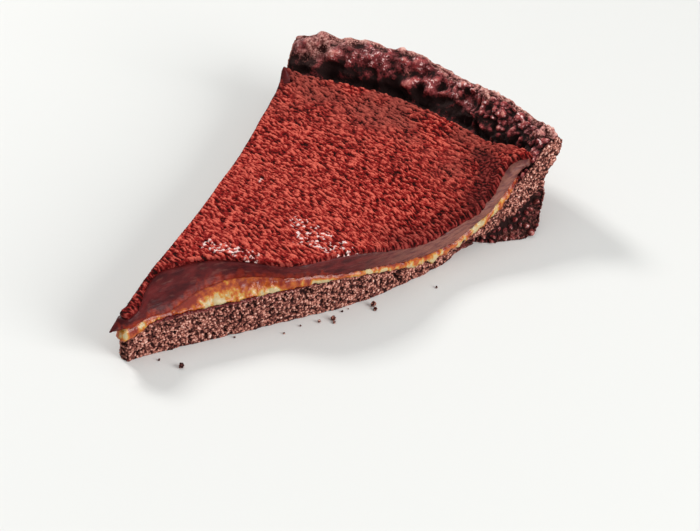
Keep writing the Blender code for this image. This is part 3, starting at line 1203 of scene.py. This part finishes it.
@dataclass
class CocoaDusting(Layer):
    """The cocoa powder, which lies on the ganache in small even ripples. Sizes are in millimetres.

    Attributes:
        ripple_size: how wide the ripples' small lumps are.
        ripple_gap: how far it is from one ripple to the next.
        ripple_angle: which way the ripples run, in degrees from +X.
        ripple_stretch: how many times longer than wide their lumps are.
        ripple_height: how high the ripples are.
        droop, corner_droop: how far the powder hangs over the front cut, and how much more at the corner.
        corner_shift: how far its edge stands out at that corner.
        corner_dip, bare_spot: where the powder sinks at the back corner, and where the ganache shows.
        darkened_spots: where it is darkened, which on the drooping front edge is painted shade.
        wet_glint_angle, wet_glint_size: which way the painted glints of the wet dashes run, in degrees
            from +X, and how wide they are.
        wet_glint_spots: where they lie.
    """

    node: Node = Node.COCOA
    name: str = "cocoa_dusting"
    slot: str = "cocoa_powder"
    finish: CocoaFinish = CocoaFinish()
    grain: float = 0.28
    smoothing: int = 6
    ripple_size: float = 0.50
    ripple_gap: float = 1.45
    ripple_angle: float = -99.0
    ripple_stretch: float = 3.6
    ripple_height: float = 0.38
    droop: float = 0.7
    corner_droop: float = 0.9
    corner_shift: Triple = (0.3, -0.9, 0.0)
    corner_dip: Mark = Mark((121.5, 41.0, 18.5), (122.0, 36.0, 18.0), 1.6, 0.8)
    bare_spot: Mark = Mark((118.5, 39.0, 17.5), (116.5, 38.2, 17.0), 1.5, 1.2)
    darkened_spots: tuple[Mark, ...] = (
        # Painted shade over the drooping front edge.
        Mark((74.0, -33.0, 12.0), (112.0, -42.0, 18.0), 7.0, 0.75),
        Mark((104.0, -36.0, 15.0), (109.0, -38.0, 16.0), 2.5, 0.5),
        Mark((118.5, 39.0, 17.5), (112.0, 37.0, 16.5), 2.0, 0.8),
        Mark((0.0, 0.0, 14.0), (20.0, 1.0, 16.5), 4.5, 0.6),
    )
    wet_glint_angle: float = -49.0
    wet_glint_size: float = 0.62
    wet_glint_spots: tuple[Mark, ...] = (
        Mark((33.8, -0.5, 16.5), (38.2, -11.6, 16.5), 3.3, 1.0),
        Mark((58.0, -11.6, 16.5), (56.4, -27.7, 16.0), 4.0, 1.0),
        Mark((51.2, -15.6, 16.5), (54.5, -24.3, 16.5), 3.0, 1.0),
        Mark((63.0, 10.1, 15.5), (68.8, 9.5, 15.5), 2.2, 0.9),
    )

    def ripples(self, points: np.ndarray) -> np.ndarray:
        """The ripples, which run across the slice.

        Args:
            points: one place a row.

        Returns:
            One value for each point, from -1 between two ripples to 1 on top of one.
        """
        drawn = drawn_out(points, self.ripple_angle, self.ripple_stretch)
        turn = math.radians(self.ripple_angle)
        across = points[:, 1] * math.cos(turn) - points[:, 0] * math.sin(turn) + 0.7 * points[:, 2]
        waves = np.sin(2.0 * np.pi * across / self.ripple_gap + 7.0 * soft_noise(points, 1.9, 40.0))
        return np.clip(0.5 * waves + 1.9 * soft_noise(drawn, self.ripple_size), -1.0, 1.0)

    def shape(self, work: Sculpt) -> np.ndarray:
        """Sculpts the ripples, and thins the powder towards its edges.

        Args:
            work: the mesh, remeshed and smoothed.

        Returns:
            True for each point that doesn't show.
        """
        points = work.points.copy()
        radius = work.radius()
        upwards = work.facings()[2]
        top = work.spread(smoothstep(0.2, 0.7, upwards), 2)
        middle = work.spread(smoothstep(0.75, 0.95, upwards), 8)
        ripples = self.ripples(points)
        edge = 1.0 - smoothstep(0.3, 0.98, middle)
        sunk = self.bare_spot.lift(points) + self.corner_dip.lift(points)
        height = self.ripple_height * (1.0 - 0.75 * edge) * blend(0.3, 1.0, smoothstep(8.0, 30.0, radius))
        lift = top * (height * ripples - 0.4 * edge - sunk)
        front = smoothstep(30.0, 60.0, radius) * smoothstep(0.0, -12.0, points[:, 1])
        corner = smoothstep(98.0, 112.0, radius) * front
        ragged = self.droop * front * (0.6 + soft_noise(points, 1.8, 3.0)) + self.corner_droop * corner
        work.points[:, 2] += lift - (1.0 - top) * (0.35 + ragged)
        work.points += (corner * (1.0 - top))[:, None] * np.array(self.corner_shift)
        work.write()
        sifted = smoothstep(104.0, 74.0, radius) * smoothstep(14.0, 34.0, radius)
        # The ripples' relief, which the finish paints darker in the hollows and lighter on the crests, as
        # shade and light.
        work.keep("relief", ripples + 0.16 * sifted)
        work.keep("thin", smoothstep(96.0, 126.0, radius))
        # Darker along the powder's edges and in a few spots, as painted shade over the drooping front
        # edge.
        work.keep("darkening", np.clip(0.85 * edge + lift_all(self.darkened_spots, points), 0.0, 0.9))
        # Painted glints: pale dashes in the wet spots, which are also less rough.
        dashes = soft_noise(drawn_out(points, self.wet_glint_angle, 2.0), self.wet_glint_size, 23.0) + 0.12 * ripples
        wet_glint = np.clip(lift_all(self.wet_glint_spots, points), 0.0, 1.0)
        work.keep("wet_glint", smoothstep(0.30, 0.38, dashes * smoothstep(0.15, 0.7, wet_glint)))
        return (upwards < -0.5) & (top < 0.02)


@dataclass
class LooseCrumbs:
    """A few crumbs that fell from the front cut.

    Attributes:
        tip: the slice's tip, in metres.
        name: the piece's name.
        slot: the material slot meant for its finish; not used.
        finish: the pastry they are made of.
        places: the larger crumbs' x, y and size, in millimetres from the tip.
        dust_count: how many specks lie among them.
        seed: what their random draws start from.
    """

    tip: np.ndarray
    name: str = "loose_crumbs"
    slot: str = "chocolate_crust"
    finish: PastryFinish = PastryFinish()
    places: tuple[Triple, ...] = (
        (7.8, -13.4, 1.3), (36.1, -24.3, 0.5), (46.1, -28.2, 0.8), (49.3, -30.4, 1.3), (48.4, -31.4, 0.7),
        (61.3, -34.8, 1.3), (60.2, -36.2, 1.0),
    )
    dust_count: int = 7
    seed: int = 5

    def crumb(self, place: Vector, size: float, dice: random.Random) -> bpy.types.Object:
        """Models one crumb.

        Args:
            place: where it lies, in metres.
            size: its width, in metres.
            dice: the random draws.

        Returns:
            The crumb, at rest on the floor, with its place in its mesh.
        """
        deselect_all()
        bpy.ops.mesh.primitive_ico_sphere_add(subdivisions=3, radius=size / 2, location=(0.0, 0.0, 0.0))
        piece = bpy.context.object
        shift = Vector((dice.uniform(0, 50), dice.uniform(0, 50), dice.uniform(0, 50)))
        turn = Euler((dice.uniform(0, 6), dice.uniform(0, 6), dice.uniform(0, 6))).to_matrix()
        for vertex in piece.data.vertices:
            unit = vertex.co / size * 2
            rough = noise.noise(unit * 1.4 + shift) * 0.5 + noise.noise(unit * 3.3 + shift) * 0.4
            vertex.co = turn @ (vertex.co * (1.0 + rough))
        lowest = min(vertex.co.z for vertex in piece.data.vertices)
        piece.data.transform(Matrix.Translation(place - Vector((0.0, 0.0, lowest - 0.01 * MM))))
        return piece

    def build(self) -> bpy.types.Object:
        """Models the crumbs as one piece.

        Returns:
            The finished piece.
        """
        dice = random.Random(self.seed)
        spots = list(self.places)
        for _ in range(self.dust_count):
            along = dice.uniform(4.0, 84.0)
            spots.append((along, -2.6 - 0.5 * along + dice.uniform(-3.0, 0.4), dice.uniform(0.3, 0.6)))
        tip = Vector(self.tip)
        crumbs = [self.crumb(tip + Vector((x, y, 0.0)) * MM, size * MM, dice) for x, y, size in spots]
        pick(crumbs[0])
        for each in crumbs:
            each.select_set(True)
        bpy.ops.object.join()
        piece = crumbs[0]
        piece.name = self.name
        bpy.ops.object.shade_smooth()
        work = Sculpt(piece, self.tip)
        work.keep("relief", crumb_noise(work.points, 0.8))
        work.keep("cut", np.ones(len(work.points)))
        piece.data.materials.append(self.finish.material())
        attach(piece, "root")
        return piece


# ---- The studio ----


@dataclass(frozen=True)
class Lamp:
    """One soft square light that points at the slice.

    Attributes:
        name: its name.
        place: where it hangs, in metres.
        size: how wide it is, in metres.
        power: its power in watts.
        colour: its colour.
    """

    name: str
    place: Triple
    size: float
    power: float
    colour: Colour

    def hang(self) -> None:
        """Adds the light to the scene."""
        turn = Vector(self.place).to_track_quat("Z", "Y").to_euler()
        bpy.ops.object.light_add(type="AREA", location=self.place, rotation=turn)
        light = bpy.context.object
        light.name = self.name
        light.data.shape = "SQUARE"
        light.data.size = self.size
        light.data.energy = self.power
        light.data.color = self.colour


@dataclass
class Studio:
    """A plain pale floor, soft light from behind, above and in front, and the camera.

    Attributes:
        tip: the slice's tip, in metres.
        camera_from_tip: where the camera stands, in metres from the tip.
        camera_turn: its rotation, in degrees.
        lens, sensor: its focal length and the width of its sensor, in millimetres.
        floor_size: how wide the floor is, in metres.
        floor_colour, sky_colour: their colours.
        sky_strength: how bright the sky is.
        lamps: the window behind the slice, a softbox above it and a soft light in front.
    """

    tip: np.ndarray
    camera_from_tip: Triple = (-0.3243, -0.2845, 0.3342)
    camera_turn: Triple = (54.932, -3.577, -53.693)
    lens: float = 109.98
    sensor: float = 36.0
    floor_size: float = 4.0
    floor_colour: Colour = (0.74, 0.735, 0.71)
    sky_colour: Colour = (0.93, 0.96, 1.0)
    sky_strength: float = 0.27
    lamps: tuple[Lamp, ...] = (
        Lamp("window", (0.15, 0.85, 0.70), 0.25, 7.6, (1.0, 1.0, 0.99)),
        Lamp("softbox", (0.0, 0.0, 1.25), 1.7, 6.4, (0.99, 1.0, 1.0)),
        Lamp("front_fill", (0.05, -1.0, 0.5), 0.7, 12.0, (0.99, 1.0, 1.0)),
    )

    def build_floor(self) -> None:
        """Lays the floor."""
        deselect_all()
        bpy.ops.mesh.primitive_plane_add(size=self.floor_size, location=(0.0, 0.0, 0.0))
        floor = bpy.context.object
        floor.name = "floor"
        graph = Graph("pale_floor")
        floor.data.materials.append(graph.finish(self.floor_colour, 0.55))

    def build_lights(self) -> None:
        """Sets the sky and hangs the lamps."""
        world = bpy.data.worlds.new("soft_sky")
        world.use_nodes = True
        background = world.node_tree.nodes["Background"]
        background.inputs["Color"].default_value = (*self.sky_colour, 1.0)
        background.inputs["Strength"].default_value = self.sky_strength
        bpy.context.scene.world = world
        for lamp in self.lamps:
            lamp.hang()

    def build_camera(self) -> None:
        """Places the camera."""
        turn = tuple(math.radians(angle) for angle in self.camera_turn)
        place = Vector(self.tip) + Vector(self.camera_from_tip)
        bpy.ops.object.camera_add(location=place, rotation=turn)
        camera = bpy.context.object
        camera.data.lens = self.lens
        camera.data.sensor_width = self.sensor
        camera.data.clip_start = 0.01
        bpy.context.scene.camera = camera

    def build(self) -> None:
        """Builds the floor, lights and camera."""
        self.build_floor()
        self.build_lights()
        self.build_camera()
        bpy.context.scene.view_settings.view_transform = "Standard"


def find_tip() -> np.ndarray:
    """The slice's tip on the floor, from the crust's box, in metres."""
    low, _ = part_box(Node.CRUST.value)
    return np.array((low[0] - TIP_BEFORE_CRUST * MM, low[1] + TIP_FROM_SIDE * MM, 0.0))


def main() -> None:
    """Builds the slice layer by layer, then the studio, and logs how many faces each piece has."""
    tip = find_tip()
    for part in (Crust(tip), CreamLayer(tip), GanacheLayer(tip), CocoaDusting(tip), LooseCrumbs(tip)):
        piece = part.build()
        log.info("%s: %d faces", piece.name, len(piece.data.polygons))
    Studio(tip).build()


if __name__ == "__main__":
    main()
